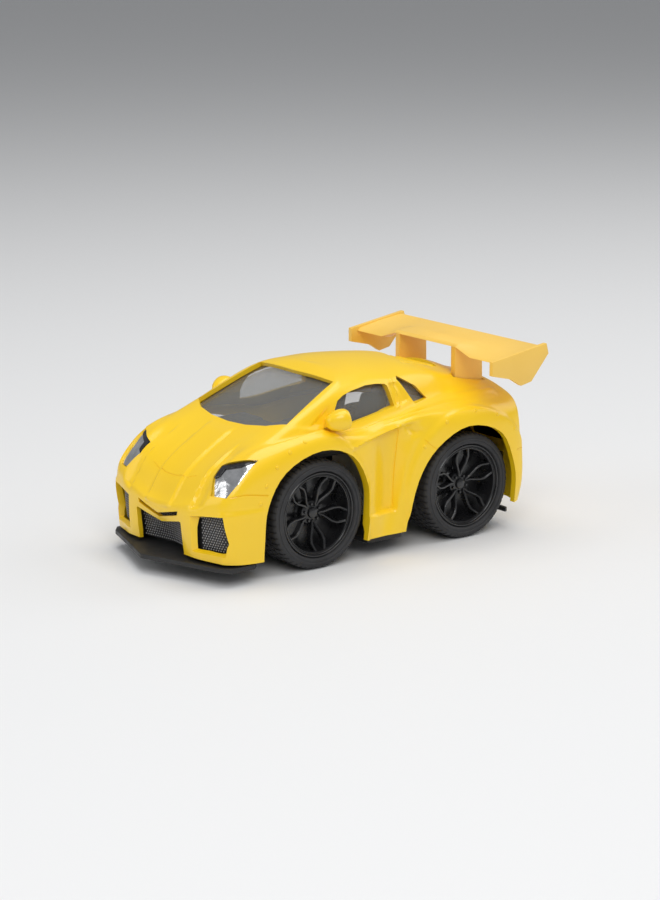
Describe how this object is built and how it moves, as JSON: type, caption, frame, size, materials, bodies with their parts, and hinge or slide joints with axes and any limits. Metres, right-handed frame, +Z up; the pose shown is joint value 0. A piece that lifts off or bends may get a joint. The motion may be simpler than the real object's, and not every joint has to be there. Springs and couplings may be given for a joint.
{
  "type": "pull back car",
  "caption": "Short, tall-wheeled toy sports car with a hollow shell, raised rear wing and a spring motor that winds when the car is pulled back.",
  "frame": {"origin": "on the ground, at the middle of the car's overall length and width", "axes": "+X forward, +Y to the car's left, +Z up"},
  "size_m": [0.103, 0.0572, 0.0476],
  "materials": {
    "body_paint": "gloss",
    "wing_plastic": "satin",
    "smoke_glazing": "gloss",
    "lamp_chrome": "polished",
    "lamp_red": "gloss",
    "black_plastic": "matte",
    "rim_plastic": "satin",
    "tyre_rubber": "matte",
    "steel": "satin",
    "nylon": "matte"
  },
  "bodies": {
    "car_body": {"chassis_plate": "black_plastic", "body_shell": "body_paint", "window_glazing": "smoke_glazing", "headlight_left": "lamp_chrome", "headlight_right": "lamp_chrome", "front_grille": "black_plastic", "tail_light_left": "lamp_red", "tail_light_right": "lamp_red", "rear_grille": "black_plastic", "rear_wing": "wing_plastic", "cabin_interior": "black_plastic", "front_screw": "steel", "rear_screw": "steel", "motor_case_left": "nylon", "motor_case_right": "nylon", "spring_barrel": "nylon", "mainspring": "steel"},
    "front_wheels": {"front_axle": "steel", "tyre_front_left": "tyre_rubber", "rim_front_left": "rim_plastic", "tyre_front_right": "tyre_rubber", "rim_front_right": "rim_plastic"},
    "rear_wheels": {"rear_axle": "steel", "axle_pinion": "nylon", "tyre_rear_left": "tyre_rubber", "rim_rear_left": "rim_plastic", "tyre_rear_right": "tyre_rubber", "rim_rear_right": "rim_plastic"},
    "clutch_carrier": {"clutch_pin": "steel"},
    "clutch": {"clutch_gear": "nylon"},
    "spring_drum": {"spring_drum_gear": "nylon"}
  },
  "joints": [
    {"name": "front_axle_spin", "type": "hinge", "parent": "car_body", "child": "front_wheels", "pos_m": [0.0159, 0, 0.0133], "axis": [0, 1, 0], "continuous": true},
    {"name": "rear_axle_spin", "type": "hinge", "parent": "car_body", "child": "rear_wheels", "pos_m": [-0.0301, 0, 0.0133], "axis": [0, 1, 0], "continuous": true},
    {"name": "clutch_slide", "type": "slide", "parent": "car_body", "child": "clutch_carrier", "axis": [-0.2588, 0, 0.9659], "range_m": [0, 0.0019]},
    {"name": "clutch_gear_spin", "type": "hinge", "parent": "clutch_carrier", "child": "clutch", "pos_m": [-0.0279, 0, 0.02151], "axis": [0, 1, 0], "continuous": true},
    {"name": "spring_drum_spin", "type": "hinge", "parent": "car_body", "child": "spring_drum", "pos_m": [-0.02083, 0, 0.01444], "axis": [0, 1, 0], "continuous": true}
  ],
  "couplings": [
    {"joint": "clutch_gear_spin", "follows": "rear_axle_spin", "ratio": -0.41667},
    {"joint": "spring_drum_spin", "follows": "rear_axle_spin", "ratio": 0.13889}
  ]
}
